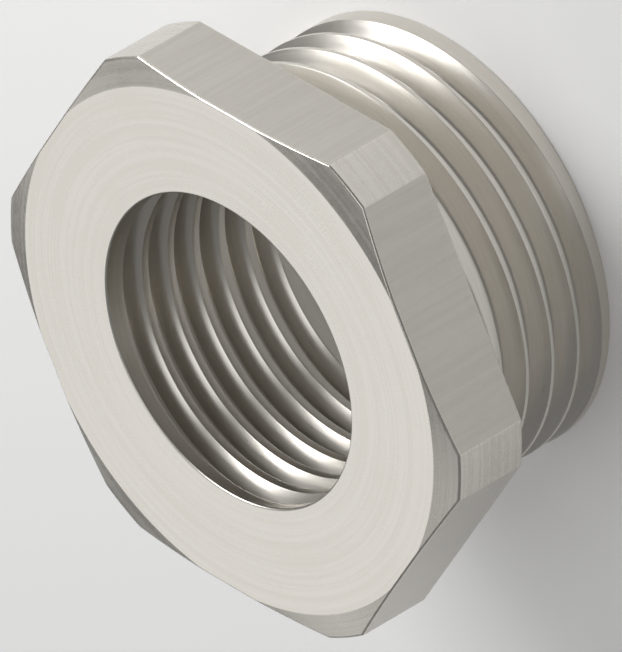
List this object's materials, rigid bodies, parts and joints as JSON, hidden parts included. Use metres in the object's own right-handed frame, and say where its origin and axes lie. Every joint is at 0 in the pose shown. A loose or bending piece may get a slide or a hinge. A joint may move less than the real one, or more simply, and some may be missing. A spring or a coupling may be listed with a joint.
{
  "type": "reducer fitting",
  "caption": "Hexagon-headed reducer fitting, threaded outside under the head and threaded right through inside for a smaller fitting.",
  "frame": {"origin": "centre of the seating face under the hexagon head, on the axis of both threads", "axes": "+Z along the axis, out of the head, so the shank with the outer thread points to -Z; corners of the hexagon on the X axis, and two flats square to the Y axis"},
  "size_m": [0.0264, 0.024, 0.0125],
  "materials": {
    "nickel_plate": "satin nickel plate on turned brass"
  },
  "bodies": {
    "root": {"reducer_body": "nickel_plate"}
  },
  "joints": []
}
